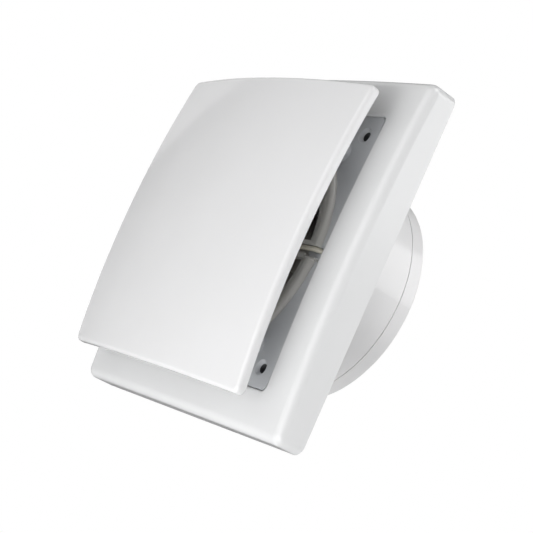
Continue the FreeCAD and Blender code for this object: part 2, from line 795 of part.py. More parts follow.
# ---------------------------------------------------------------- intake ring, spokes and motor cup
def make_motor_bracket():
    """The intake ring, with three spokes that carry the motor's cup on the duct's axis."""
    body = new_body("motor_bracket")
    collar_back = "(plate_depth - collar_length)"
    lip = "(plate_depth + collar_lip)"
    revolve(body, ring_profile(RING_INNER, RING_OUTER, "plate_depth", RING_TOP))
    fillet(body, "ring_round", circle_at(RING_OUTER, RING_TOP))
    fillet(body, "ring_round", circle_at(RING_INNER, RING_TOP))
    revolve(body, [(COLLAR_INNER, collar_back), (COLLAR_OUTER, collar_back), (COLLAR_OUTER, "plate_depth"),
                   (RING_MIDDLE, "plate_depth"), (RING_MIDDLE, lip), (COLLAR_INNER, lip)])

    low = f"({CHANNEL_Z} - spoke_width / 2)"
    high = f"({CHANNEL_Z} + spoke_width / 2)"
    root = "(cup_radius - cup_wall / 2)"
    spoke = front_sketch(body, f"({RING_TOP} - spoke_depth)")
    rectangle(spoke, root, f"(({COLLAR_INNER} + {COLLAR_OUTER}) / 2)", low, high)
    spoke_body = pad(body, spoke, "spoke_depth")
    tongue = front_sketch(body, "plate_depth")
    rectangle(tongue, COLLAR_INNER, RING_MIDDLE, low, high)
    around(body, [spoke_body, pad(body, tongue, "ring_rise")], "spoke_count")

    channel_low = f"({CHANNEL_Z} - channel_width / 2)"
    channel_high = f"({CHANNEL_Z} + channel_width / 2)"
    channel = front_sketch(body, RING_TOP)
    rectangle(channel, root, RING_INNER, channel_low, channel_high)
    around(body, [pocket(body, channel, "channel_depth")], "spoke_count")
    crossing = front_sketch(body, RING_TOP)
    crossing_low = f"({channel_low} - crossing_room)"
    rectangle(crossing, RING_INNER, f"({RING_OUTER} + lead_gap)", crossing_low, channel_high)
    pocket(body, crossing, "channel_depth")

    shoulder = "(cup_wall + stator_step)"
    revolve(body, [("bearing_radius", REAR_BEARING), (BEARING_SEAT, REAR_BEARING), (BEARING_SEAT, "cup_back"),
                   ("cup_radius", "cup_back"), ("cup_radius", CUP_FRONT), (CUP_INNER, CUP_FRONT),
                   (CUP_INNER, STACK_BACK), (f"(cup_radius - {shoulder})", STACK_BACK),
                   (f"(cup_radius - {shoulder})", CUP_FLOOR), (BEARING_SEAT, CUP_FLOOR),
                   (BEARING_SEAT, f"({REAR_BEARING} + bearing_length)"),
                   ("bearing_radius", f"({REAR_BEARING} + bearing_length)")])
    fillet(body, "cup_round", circle_at("cup_radius", "cup_back"))

    lead_hole = sketch_on(body, "YZ_Plane", "cup_radius")
    circle(lead_hole, negative(LEAD_DEPTH), LEAD_Z, "(lead_radius + lead_fit)")
    pocket(body, lead_hole, f"({shoulder} + lead_gap)")

    lug = front_sketch(body, f"({CUP_FRONT} - lug_length)", SCREW_TURN)
    circle(lug, LUG_CIRCLE, "0", "lug_radius")
    around(body, [pad(body, lug, "lug_length")], "spoke_count")
    pilot = front_sketch(body, CUP_FRONT, SCREW_TURN)
    circle(pilot, LUG_CIRCLE, "0", "small_shank")
    around(body, [pocket(body, pilot, f"({SMALL_HOLE} - cap_wall)")], "spoke_count")
    sink = front_sketch(body, RING_TOP, SCREW_TURN)
    circle(sink, RING_MIDDLE, "0", "(small_head + screw_play)")
    hole = front_sketch(body, RING_TOP, SCREW_TURN)
    circle(hole, RING_MIDDLE, "0", "(small_shank + screw_play)")
    around(body, [pocket(body, sink, "ring_sink"), pocket(body, hole, "ring_rise")], "spoke_count")

    hook = front_sketch(body, "plate_depth")
    rectangle(hook, f"({RING_OUTER} - ring_round / 2)", f"({LEAD_X} + lead_radius)",
              f"({crossing_low} - hook_width)", crossing_low)
    pad(body, hook, "ring_rise")


def make_motor_cap():
    """The cap that closes the motor's cup, with the front bearing's dome and cooling slots."""
    body = new_body("motor_cap")
    spigot_inner = f"({STATOR_RADIUS} - cap_spigot)"
    dome = f"({DOME_INNER} + dome_wall)"
    revolve(body, [("0", dome), ("0", DOME_INNER), ("bearing_radius", DOME_INNER),
                   ("bearing_radius", FRONT_BEARING), (BEARING_SEAT, FRONT_BEARING),
                   (BEARING_SEAT, CUP_FRONT), (spigot_inner, CUP_FRONT), (spigot_inner, STACK_FRONT),
                   (STATOR_RADIUS, STACK_FRONT), (STATOR_RADIUS, CUP_FRONT),
                   ("cup_radius", CUP_FRONT), ("cup_radius", CAP_FRONT),
                   (BEARING_SEAT, CAP_FRONT), (BEARING_SEAT, dome)])
    fillet(body, "dome_round", circle_at(BEARING_SEAT, dome))
    ear = front_sketch(body, CUP_FRONT, SCREW_TURN)
    circle(ear, LUG_CIRCLE, "0", "lug_radius")
    around(body, [pad(body, ear, "cap_wall")], "spoke_count")
    hole = front_sketch(body, CAP_FRONT, SCREW_TURN)
    circle(hole, LUG_CIRCLE, "0", "(small_shank + screw_play)")
    around(body, [pocket(body, hole, "cap_wall")], "spoke_count")
    vent = front_sketch(body, CAP_FRONT)
    rectangle(vent, f"({BEARING_SEAT} + vent_margin)", f"({spigot_inner} - vent_margin)",
              "(-vent_width / 2)", "(vent_width / 2)")
    around(body, [pocket(body, vent, "cap_wall")], "vent_count")


# ---------------------------------------------------------------- motor
def make_stator_core():
    """The laminated stack: a round yoke, four poles and their shoes round the rotor."""
    body = new_body("stator_core")
    revolve(body, ring_profile(YOKE_INNER, STATOR_RADIUS, STACK_BACK, STACK_FRONT))
    revolve(body, ring_profile("stator_bore", SHOE_RADIUS, STACK_BACK, STACK_FRONT))
    pole = front_sketch(body, STACK_BACK)
    rectangle(pole, "(stator_bore + shoe_wall / 2)", f"({YOKE_INNER} + stator_yoke / 2)",
              "(-pole_width / 2)", "(pole_width / 2)")
    around(body, [pad(body, pole, "stack_length")], "pole_count")
    gap = front_sketch(body, STACK_FRONT, POLE_TURN)
    rectangle(gap, "(stator_bore - shoe_wall)", f"({SHOE_RADIUS} + shoe_wall / 2)",
              "(-shoe_gap / 2)", "(shoe_gap / 2)")
    around(body, [pocket(body, gap, "stack_length")], "pole_count")
    slot = front_sketch(body, STACK_FRONT)
    rectangle(slot, "(stator_bore - shoe_wall)", f"({SHADE_X} + shade_wire + shade_fit)",
              "(shade_offset - shade_fit)", "(shade_offset + shade_wire + shade_fit)")
    around(body, [pocket(body, slot, "stack_length")], "pole_count")


def round_pole(body, start, layer, across, along):
    """Add a closed band round the first pole.

    It starts at a distance from the axis, leaves the pole clear by one gap, is as thick as the layer
    and reaches along the pole.
    """
    band = sketch_on(body, "YZ_Plane", start)
    for room in (across, f"({across} + {layer})"):
        rectangle(band, f"(-{STACK_FRONT} - {room})", f"(-{STACK_BACK} + {room})",
                  f"(-pole_width / 2 - {room})", f"(pole_width / 2 + {room})")
    return pad(body, band, along)


def make_pole_bobbins():
    body = new_body("pole_bobbins")
    cheek = "(bobbin_wall + coil_wall)"
    turns = [round_pole(body, BOBBIN_START, "bobbin_wall", "bobbin_fit", BOBBIN_REACH),
             round_pole(body, BOBBIN_START, cheek, "bobbin_fit", "bobbin_wall"),
             round_pole(body, f"({BOBBIN_START} + {BOBBIN_REACH} - bobbin_wall)", cheek, "bobbin_fit",
                        "bobbin_wall")]
    around(body, turns, "pole_count")


def make_pole_windings():
    body = new_body("pole_windings")
    winding = round_pole(body, f"({BOBBIN_START} + bobbin_wall)", "(coil_wall - bobbin_fit)",
                         "(bobbin_fit + bobbin_wall)", f"({BOBBIN_REACH} - 2 * bobbin_wall)")
    around(body, [winding], "pole_count")


def make_shading_rings():
    """One closed copper loop round part of each pole shoe."""
    body = new_body("shading_rings")
    loop = sketch_on(body, "YZ_Plane", SHADE_X)
    low = "shade_offset"
    high = f"({SHADE_OUTSIDE} + shade_wire)"
    rectangle(loop, f"(-{STACK_FRONT} - shade_wire)", f"(-{STACK_BACK} + shade_wire)", low, high)
    rectangle(loop, negative(STACK_FRONT), negative(STACK_BACK), f"({low} + shade_wire)",
              f"({high} - shade_wire)")
    around(body, [pad(body, loop, "shade_wire")], "pole_count")


def make_rotor():
    """The rotor's laminations, with the cast cage whose bars run through them."""
    core = new_body("rotor_core")
    revolve(core, [("shaft_radius", CAGE_BACK), ("washer_radius", CAGE_BACK), ("washer_radius", STACK_BACK),
                   (ROTOR_RADIUS, STACK_BACK), (ROTOR_RADIUS, STACK_FRONT), ("washer_radius", STACK_FRONT),
                   ("washer_radius", CAGE_FRONT), ("shaft_radius", CAGE_FRONT)])
    slot = front_sketch(core, STACK_FRONT)
    circle(slot, BAR_CIRCLE, "0", "bar_radius")
    around(core, [pocket(core, slot, "stack_length")], "bar_count")

    cage = new_body("rotor_cage")
    band = f"({ROTOR_RADIUS} - cage_band)"
    revolve(cage, ring_profile(band, ROTOR_RADIUS, CAGE_BACK, STACK_BACK))
    revolve(cage, ring_profile(band, ROTOR_RADIUS, STACK_FRONT, CAGE_FRONT))
    bar = front_sketch(cage, STACK_BACK)
    circle(bar, BAR_CIRCLE, "0", "bar_radius")
    around(cage, [pad(cage, bar, "stack_length")], "bar_count")


def make_shaft_and_bearings():
    shaft = new_body("motor_shaft")
    tail = f"({NUT_BACK} - shaft_tail)"
    head = f"({DOME_INNER} - end_play)"
    tip = "(shaft_radius - shaft_chamfer)"
    revolve(shaft, [("0", tail), (tip, tail), ("shaft_radius", f"({tail} + shaft_chamfer)"),
                    ("shaft_radius", f"({head} - shaft_chamfer)"), (tip, head), ("0", head)])
    for label, back in [("front_bearing", FRONT_BEARING), ("rear_bearing", REAR_BEARING)]:
        bearing = new_body(label)
        revolve(bearing, ring_profile("(shaft_radius + bearing_fit)", "bearing_radius", back,
                                      f"({back} + bearing_length)"))
    washers = new_body("thrust_washers")
    for back in (FRONT_WASHER, REAR_WASHER):
        revolve(washers, ring_profile("shaft_radius", "washer_radius", back, f"({back} + washer_wall)"))


def make_motor_lead():
    """The lead from the motor to the terminals, clipped along its whole way.

    It leaves the cup along a spoke, passes through the plate, goes round the duct tube behind the
    plate and comes back through it under the terminal block.
    """
    start, side, level, front = (value(place) for place in (YOKE_INNER, LEAD_X, LEAD_Z, LEAD_DEPTH))
    turn, bend, sweep = value("lead_turn"), value("lead_bend"), value(LEAD_SWEEP)
    back, top, end = value("lead_back_depth"), value(LEAD_TOP), value(BLOCK_X)
    corners = [(Vector(side, -front, level), turn), (Vector(side, -back, level), bend),
               (Vector(side, -back, top), sweep), (Vector(end, -back, top), bend)]
    here = Vector(start, -front, level)
    finishes_at = Vector(end, -value("plate_depth"), top)
    edges = []
    for (corner, radius), following in zip(corners, [place for place, _ in corners[1:]] + [finishes_at]):
        coming = (corner - here).normalize()
        going = (following - corner).normalize()
        arc_start = corner - coming * radius
        arc_end = corner + going * radius
        middle = corner + (going - coming) * radius * (1 - math.sqrt(0.5))
        edges.append(Part.LineSegment(here, arc_start).toShape())
        edges.append(Part.Arc(arc_start, middle, arc_end).toShape())
        here = arc_end
    edges.append(Part.LineSegment(here, finishes_at).toShape())
    path = Part.Wire(edges)
    section = Part.Wire(Part.makeCircle(value("lead_radius"), Vector(start, -front, level), Vector(1, 0, 0)))
    lead = doc.addObject("Part::Feature", "motor_lead")
    lead.Shape = path.makePipeShell([section], True, True)
    finish(lead, "motor_lead")


# ---------------------------------------------------------------- impeller
def blade_section(body, place, sweep):
    """Draw a blade's section across the radius: two like arcs, one behind the other."""
    sketch = sketch_on(body, "YZ_Plane", place)
    front = f"(-{HUB_FRONT} + blade_setback)"
    back = f"(-{HUB_BACK} - blade_setback)"
    chord = f"sqrt(({back} - {front})^2 + ({sweep})^2)"
    radius = f"({chord}^2 / (8 * blade_camber) + blade_camber / 2)"
    arcs = []
    for shift in ("0", "blade_wall"):
        first = Vector(value(f"{front} + {shift}"), value(f"(-{sweep} / 2)"))
        last = Vector(value(f"{back} - blade_wall + {shift}"), value(f"({sweep} / 2)"))
        along = last - first
        bulge = Vector(-along.y, along.x).normalize() * value("blade_camber")
        arc = sketch.addGeometry(Part.Arc(first, (first + last) / 2 + bulge, last))
        ends = sketch.getPoint(arc, 1), sketch.getPoint(arc, 2)
        lower, upper = (1, 2) if ends[0].y < ends[1].y else (2, 1)
        hold(sketch, arc, lower, f"({front} + {shift})", f"(-{sweep} / 2)")
        hold(sketch, arc, upper, f"({back} - blade_wall + {shift})", f"({sweep} / 2)")
        hold_radius(sketch, arc, radius)
        arcs.append((arc, lower, upper))
    for end in (1, 2):
        near, far = arcs[0], arcs[1]
        line = sketch.addGeometry(Part.LineSegment(sketch.getPoint(near[0], near[end]),
                                                   sketch.getPoint(far[0], far[end])))
        sketch.addConstraint(Sketcher.Constraint("Coincident", line, 1, near[0], near[end]))
        sketch.addConstraint(Sketcher.Constraint("Coincident", line, 2, far[0], far[end]))
    return sketch


def make_impeller():
    """The axial impeller: an open hub on the shaft, with twisted blades."""
    body = new_body("impeller")
    hub_inner = "(hub_radius - hub_wall)"
    face_back = f"({HUB_FRONT} - hub_wall)"
    root = f"({hub_inner} - hub_wall / 2)"
    loft = feature(body, "AdditiveLoft", "Blade", blade_section(body, root, "root_sweep"))
    loft.Sections = [blade_section(body, f"({BLADE_TIP} + hub_wall)", "tip_sweep")]
    around(body, [loft], "blade_count")
    groove(body, ring_profile(BLADE_TIP, f"({BLADE_TIP} + tip_sweep)", HUB_BACK, HUB_FRONT))
    groove(body, ring_profile("0", hub_inner, HUB_BACK, HUB_FRONT))
    revolve(body, [("shaft_radius", HUB_BACK), ("hub_boss", HUB_BACK), ("hub_boss", face_back),
                   (hub_inner, face_back), (hub_inner, HUB_BACK), ("hub_radius", HUB_BACK),
                   ("hub_radius", HUB_FRONT), ("shaft_radius", HUB_FRONT)])
    fillet(body, "hub_round", circle_at("hub_radius", HUB_FRONT))

    nut = new_body("impeller_nut")
    outline = front_sketch(nut, NUT_BACK)
    polygon(outline, [(f"(nut_radius * cos({angle}))", f"(nut_radius * sin({angle}))")
                      for angle in range(0, 360, 60)])
    circle(outline, "0", "0", "shaft_radius")
    pad(nut, outline, "nut_wall")


# ---------------------------------------------------------------- screws
def screw(body, across, up, seat, length="small_length", shank="small_shank", head="small_head"):
    """A pan-head screw along the depth, with a cross recess; the seat is the depth under its head."""
    top = f"({seat} + small_head_wall)"
    tip = f"({seat} - {length})"
    edge = f"({head} - screw_chamfer)"
    turning = revolve(body, [("0", tip), (f"({shank} / 2)", tip), (shank, f"({tip} + {shank})"),
                             (shank, seat), (head, seat), (head, f"({top} - screw_chamfer)"),
                             (edge, top), ("0", top)], across, up)
    recess = front_sketch(body, top)
    recess.setExpression("AttachmentOffset.Base.x", bound(across))
    recess.setExpression("AttachmentOffset.Base.y", bound(up))
    long, short = f"({head} * recess_reach)", f"({head} * recess_width)"
    quarter = [(long, negative(short)), (long, short), (short, short)]
    corners = []
    for _ in range(4):
        corners += quarter
        quarter = [(negative(up_by), across_by) for across_by, up_by in quarter]
    polygon(recess, corners)
    return [turning, pocket(body, recess, "recess_depth")]


def make_screws():
    cap = new_body("cap_screws", SCREW_TURN)
    around(cap, screw(cap, LUG_CIRCLE, "0", CAP_FRONT), "spoke_count")
    ring = new_body("bracket_screws", SCREW_TURN)
    around(ring, screw(ring, RING_MIDDLE, "0", f"({RING_TOP} - ring_sink)"), "spoke_count")
    screw(new_body("cover_screw"), COVER_SCREW_X, BLOCK_Z, "(plate_depth + cover_wall)")


# ---------------------------------------------------------------- terminals and cable entry
def make_terminals():
    """The two-pole terminal block on the plate, with its clamps and their screws."""
    poles = [f"({BLOCK_X} - block_wide / 4)", f"({BLOCK_X} + block_wide / 4)"]
    clamp_back = "(plate_depth + clamp_seat)"
    clamp_front = f"({clamp_back} + clamp_size)"
    block_top = "(plate_depth + block_rise)"

    block = new_body("terminal_block")
    outline = front_sketch(block, "plate_depth")
    rectangle(outline, BLOCK_LEFT, BLOCK_RIGHT, BLOCK_LOW, BLOCK_HIGH)
    pad(block, outline, "block_rise")
    tunnels = sketch_on(block, "XY_Plane")
    wells = front_sketch(block, block_top)
    for pole in poles:
        rectangle(tunnels, f"({pole} - clamp_size / 2)", f"({pole} + clamp_size / 2)", negative(clamp_front),
                  negative(clamp_back))
        circle(wells, pole, BLOCK_Z, "(terminal_head + screw_play)")
    pocket(block, tunnels, along_normal=True)
    pocket(block, wells, f"({block_top} - {clamp_front})")
    divider = front_sketch(block, block_top)
    rectangle(divider, f"({BLOCK_X} - divider_width / 2)", f"({BLOCK_X} + divider_width / 2)",
              BLOCK_LOW, BLOCK_HIGH)
    pocket(block, divider, "divider_depth")

    clamps = new_body("terminal_clamps")
    tubes = sketch_on(clamps, "XY_Plane", f"({BLOCK_LOW} + clamp_inset)")
    holes = front_sketch(clamps, clamp_front)
    screws = new_body("terminal_screws")
    for pole in poles:
        rectangle(tubes, f"({pole} - clamp_size / 2)", f"({pole} + clamp_size / 2)", negative(clamp_front),
                  negative(clamp_back))
        circle(tubes, pole, f"(-{clamp_back} - clamp_size / 2)", "clamp_bore")
        circle(holes, pole, BLOCK_Z, "terminal_shank")
        screw(screws, pole, BLOCK_Z, f"({clamp_front} + screw_play)", "terminal_length", "terminal_shank",
              "terminal_head")
    pad(clamps, tubes, "(block_tall - 2 * clamp_inset)")
    pocket(clamps, holes, "(clamp_size / 2)")


def make_terminal_cover():
    """The lid over the terminals, held by one screw through an ear."""
    body = new_body("terminal_cover")

    def outline(margin):
        sketch = front_sketch(body, "plate_depth")
        rectangle(sketch, f"({BLOCK_LEFT} - {margin})", f"({BLOCK_RIGHT} + {margin})",
                  f"({BLOCK_LOW} - {margin})", f"({BLOCK_HIGH} + {margin})")
        return sketch

    pad(body, outline(COVER_MARGIN), "cover_rise")
    fillet(body, "cover_wall", upright_edge)
    pocket(body, outline("cover_room"), "(cover_rise - cover_wall)", along_normal=True)
    ear = front_sketch(body, "plate_depth")
    circle(ear, COVER_SCREW_X, BLOCK_Z, "small_boss")
    pad(body, ear, "cover_wall")
    web = front_sketch(body, "plate_depth")
    rectangle(web, f"({BLOCK_RIGHT} + cover_room)", COVER_SCREW_X,
              f"({BLOCK_Z} - small_boss)", f"({BLOCK_Z} + small_boss)")
    pad(body, web, "cover_wall")
    hole = front_sketch(body, "(plate_depth + cover_wall)")
    circle(hole, COVER_SCREW_X, BLOCK_Z, "(small_shank + screw_play)")
    pocket(body, hole, "cover_wall")
    entry = front_sketch(body, "plate_depth")
    rectangle(entry, BLOCK_LEFT, f"({BLOCK_LEFT} + 2 * entry_bore)",
              f"({BLOCK_LOW} - {COVER_MARGIN} - cover_wall)", f"({BLOCK_LOW} - cover_room / 2)")
    pocket(body, entry, "(2 * entry_bore)", along_normal=True)


def make_cable_grommet():
    """The rubber grommet that lines the supply cable's way through the plate."""
    body = new_body("cable_grommet")
    front = "(plate_depth + grommet_flange)"
    back = f"({PLATE_BACK} - grommet_lip)"
    flange = f"({GROMMET_NECK} + grommet_flange)"
    lip = f"({GROMMET_NECK} + grommet_lip)"
    revolve(body, [("entry_bore", back), (GROMMET_NECK, back), (lip, PLATE_BACK), (GROMMET_NECK, PLATE_BACK),
                   (GROMMET_NECK, "plate_depth"), (flange, "plate_depth"),
                   (flange, "(plate_depth + grommet_flange / 2)"),
                   (f"({flange} - grommet_flange / 2)", front), ("entry_bore", front)], ENTRY_X, ENTRY_Z)


# ---------------------------------------------------------------- back-draught shutter
def make_shutter_ring():
    """The ring that plugs into the duct tube and carries the two flaps."""
    body = new_body("shutter_ring")
    collar_inner = f"(({SEAT_INNER} + {COLLAR_OUTER}) / 2)"
    collar_front = "(tube_length - shutter_collar)"
    seam = "(tube_radius - seam_depth)"
    seam_end = "(tube_length + seam_width)"
    revolve(body, [(radius, negative(place)) for radius, place in
                   [(collar_inner, collar_front), (COLLAR_OUTER, collar_front), (COLLAR_OUTER, "tube_length"),
                    (seam, "tube_length"), (seam, seam_end), ("tube_radius", seam_end),
                    ("tube_radius", f"({SHUTTER_BACK} - rim_chamfer)"),
                    ("(tube_radius - rim_chamfer)", SHUTTER_BACK),
                    (TUBE_INNER, SHUTTER_BACK), (TUBE_INNER, SEAT_BACK), (SEAT_INNER, SEAT_BACK),
                    (SEAT_INNER, "tube_length"), (collar_inner, "tube_length")]])
    bar = front_sketch(body, f"(-{SEAT_BACK})")
    reach = f"(({SEAT_INNER} + {COLLAR_OUTER}) / 2)"
    rectangle(bar, "(-bar_width / 2)", "(bar_width / 2)", negative(reach), reach)
    pad(body, bar, "bar_depth")
    holes = sketch_on(body, "XY_Plane")
    circle(holes, "0", PIN_PLACE, "pin_radius")
    drilled = pocket(body, holes, f"(2 * {PIN_REACH})")
    drilled.Midplane = True

    pin = new_body("flap_pin")
    section = sketch_on(pin, "XY_Plane", negative(PIN_REACH))
    circle(section, "0", PIN_PLACE, "pin_radius")
    pad(pin, section, f"(2 * {PIN_REACH})")


def make_flap(label, turn):
    """One half-round flap with two knuckles; the other flap is the same moulding turned over."""
    body = new_body(label, turn)
    plate = front_sketch(body, f"(-{FLAP_FRONT} - flap_wall)")
    edge = f"({KNUCKLE_RADIUS} + knuckle_gap)"
    lean = math.asin(value(edge) / value(FLAP_RADIUS))
    ring = Part.Circle(Vector(), Vector(0, 0, 1), value(FLAP_RADIUS))
    arc = plate.addGeometry(Part.ArcOfCircle(ring, lean - math.pi / 2, math.pi / 2 - lean))
    line = plate.addGeometry(Part.LineSegment(plate.getPoint(arc, 2), plate.getPoint(arc, 1)))
    plate.addConstraint(Sketcher.Constraint("Coincident", arc, 2, line, 1))
    plate.addConstraint(Sketcher.Constraint("Coincident", line, 2, arc, 1))
    plate.addConstraint(Sketcher.Constraint("Coincident", arc, 3, -1, 1))
    hold_radius(plate, arc, FLAP_RADIUS)
    hold_along(plate, "X", line, 1, edge)
    plate.addConstraint(Sketcher.Constraint("Vertical", line))
    pad(body, plate, "flap_wall")

    first = "(spring_zone / 2)"
    second = f"(-{first} - 2 * knuckle_length - knuckle_gap)"
    for low in (first, second):
        web = front_sketch(body, f"(-{FLAP_FRONT} - flap_wall)")
        rectangle(web, "0", f"({edge} + knuckle_gap)", low, f"({low} + knuckle_length)")
        pad(body, web, "flap_wall")
        barrel = sketch_on(body, "XY_Plane", low)
        circle(barrel, "0", PIN_PLACE, KNUCKLE_RADIUS)
        pad(body, barrel, "knuckle_length")
    bore = sketch_on(body, "XY_Plane")
    circle(bore, "0", PIN_PLACE, "(pin_radius + pin_fit)")
    drilled = pocket(body, bore, f"(2 * {FLAP_RADIUS})")
    drilled.Midplane = True


def make_flap_spring(label, turn):
    """A light coil round the pin that closes its flap, with one arm along the flap's back."""
    body = new_body(label, turn)
    radius = f"({KNUCKLE_RADIUS} - spring_wire)"
    start = "((spring_zone / 2 - spring_turns * spring_pitch) / 2)"
    section = sketch_on(body, "XZ_Plane")
    section.setExpression("AttachmentOffset.Base.z", bound(f"(-{PIN_PLACE})"))
    circle(section, radius, start, "spring_wire")
    coil = body.newObject("PartDesign::AdditiveHelix", "Coil")
    coil.Profile = section
    coil.ReferenceAxis = (section, ["V_Axis"])
    coil.Mode = 0
    coil.setExpression("Pitch", bound("spring_pitch"))
    coil.setExpression("Height", bound("spring_turns * spring_pitch"))
    arm = sketch_on(body, "YZ_Plane", radius)
    circle(arm, PIN_PLACE, f"({start} + spring_turns * spring_pitch)", "spring_wire")
    pad(body, arm, "spring_arm")


make_frame()
make_front_panel()
make_housing()
make_motor_bracket()
make_motor_cap()
make_stator_core()
make_pole_bobbins()
make_pole_windings()
make_shading_rings()
make_rotor()
make_shaft_and_bearings()
make_motor_lead()
make_impeller()
make_screws()
make_terminals()
make_terminal_cover()
make_cable_grommet()
make_shutter_ring()
for side, turn in [("right", 0.0), ("left", 180.0)]:
    make_flap(f"{side}_flap", turn)
    make_flap_spring(f"{side}_flap_spring", turn)

doc.recompute()
failed = [item.Label for item in doc.Objects if {"Invalid", "Error"} & set(item.State)]
if failed:
    raise RuntimeError(f"features that did not build: {failed}")
for piece in pieces:
    if piece.Shape.isNull() or not piece.Shape.isValid():
        raise RuntimeError(f"{piece.Label} is not a valid shape")

os.makedirs("parts", exist_ok=True)
for piece in pieces:
    piece.Shape.exportStep(f"parts/{piece.Label}.step")
print(f"{len(pieces)} pieces written")
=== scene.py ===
import json
from math import cos, radians, sin

import bpy
from mathutils import Matrix, Vector


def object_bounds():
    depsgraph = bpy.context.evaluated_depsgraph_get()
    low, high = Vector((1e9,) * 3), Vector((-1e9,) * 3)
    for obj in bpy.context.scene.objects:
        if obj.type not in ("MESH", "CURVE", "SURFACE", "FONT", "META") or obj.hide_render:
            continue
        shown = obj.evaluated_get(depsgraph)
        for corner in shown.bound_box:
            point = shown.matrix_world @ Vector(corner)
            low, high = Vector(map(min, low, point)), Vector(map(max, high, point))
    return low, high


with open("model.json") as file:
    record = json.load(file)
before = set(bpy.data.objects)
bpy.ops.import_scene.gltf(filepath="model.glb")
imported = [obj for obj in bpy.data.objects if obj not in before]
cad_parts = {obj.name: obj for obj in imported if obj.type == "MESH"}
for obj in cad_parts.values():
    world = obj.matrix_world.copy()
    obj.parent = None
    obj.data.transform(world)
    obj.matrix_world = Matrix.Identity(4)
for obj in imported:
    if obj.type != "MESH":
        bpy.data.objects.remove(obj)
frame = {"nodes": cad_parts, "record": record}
cadBounds = [list(corner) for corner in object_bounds()]
nodes = frame["nodes"]
print("frame read with", len(nodes), "pieces")


def placement(look):
    # in degrees: turn 0 is in front of the fan and 90 on its right, rise 90 is straight above
    turn, rise = radians(look["turn"]), radians(look["rise"])
    back = Vector((cos(rise) * sin(turn), -cos(rise) * cos(turn), sin(rise)))
    along = Vector((0, 0, 1)).cross(back).normalized()
    upright = Matrix((along, back.cross(along), back)).transposed()
    rolled = upright @ Matrix.Rotation(radians(look["roll"]), 3, "Z")
    place = Vector(look["aim"]) + look["away"] * back
    return Matrix.Translation(place) @ rolled.to_4x4()


def fillSockets(tree, node, sockets):
    # a socket takes a plain value or another node's output
    for name, value in sockets.items():
        if isinstance(value, bpy.types.NodeSocket):
            tree.links.new(value, node.inputs[name])
        else:
            node.inputs[name].default_value = value


def addNode(tree, kind, sockets, operation=None):
    node = tree.nodes.new("ShaderNode" + kind)
    if operation:
        node.operation = operation
    fillSockets(tree, node, sockets)
    return node


cameraLook = {
    "aim": (0.0003, 0.0020, -0.0055),
    "turn": 55.875,
    "rise": -9.10,
    "roll": 24.393,
    "away": 0.5904,
    "lens": 95.23,
    "sensor": 36.0,
    "nearest": 0.01,
}


def placeCamera(look):
    data = bpy.data.cameras.new("mainCamera")
    data.lens = look["lens"]
    data.sensor_width = look["sensor"]
    data.clip_start = look["nearest"]
    camera = bpy.data.objects.new("mainCamera", data)
    bpy.context.scene.collection.objects.link(camera)
    camera.matrix_world = placement(look)
    bpy.context.scene.camera = camera


# what a lamp doesn't say for itself
softbox = {"aim": (0, 0, 0), "away": 1.1, "roll": 0, "wide": 0.7, "tall": 0.7}

lamps = {
    "frontSoftbox": {"turn": 0, "rise": 0, "wide": 1.4, "tall": 1.4, "watts": 6.4},
    "lowFrontSoftbox": {"turn": 0, "rise": -40, "watts": 2.7},
    "lowRightSoftbox": {"turn": 30, "rise": -20, "watts": 2.9},
    "floorSoftbox": {"turn": 45, "rise": -53.7, "away": 0.93, "watts": 4.9},
    "rearSoftbox": {"turn": 150, "rise": 0, "watts": 4.88},
    "highRearSoftbox": {"turn": 135, "rise": 30, "watts": 3.64},
    "topSoftbox": {"turn": 90, "rise": 60, "watts": 6.4},
    # a weak card, whose lower edge shows as the soft arc on the panel's far upper corner
    "edgeCard": {
        "aim": (-0.0303, 0.2625, 0.3025),
        "turn": -76.68,
        "rise": 16.39,
        "roll": -133.8,
        "away": 1.2,
        "wide": 1.8,
        "tall": 0.8,
        "watts": 2.8,
    },
}


def hangLamp(name, look):
    data = bpy.data.lights.new(name, "AREA")
    data.shape = "RECTANGLE"
    data.size = look["wide"]
    data.size_y = look["tall"]
    data.energy = look["watts"]
    lamp = bpy.data.objects.new(name, data)
    bpy.context.scene.collection.objects.link(lamp)
    lamp.visible_camera = False
    lamp.matrix_world = placement(look)


room = {"white": (1, 1, 1, 1), "seen": 1.0, "given": 0.041}


def paintRoom(look):
    # the room is seen white, and gives the fan only a little of its light
    world = bpy.data.worlds.new("paleRoom")
    world.use_nodes = True
    tree = world.node_tree
    tree.nodes.clear()
    seen = addNode(tree, "Background", {"Color": look["white"], "Strength": look["seen"]})
    given = addNode(tree, "Background", {"Color": look["white"], "Strength": look["given"]})
    paths = addNode(tree, "LightPath", {})
    mix = addNode(tree, "MixShader", {
        "Fac": paths.outputs["Is Camera Ray"],
        1: given.outputs["Background"],
        2: seen.outputs["Background"],
    })
    addNode(tree, "OutputWorld", {"Surface": mix.outputs["Shader"]})
    bpy.context.scene.world = world
    bpy.context.scene.view_settings.view_transform = "Standard"


floorLook = {"below": 0.75, "half": 2.4, "colour": (0.9, 0.9, 0.9, 1), "rough": 0.9, "glow": 0.72}


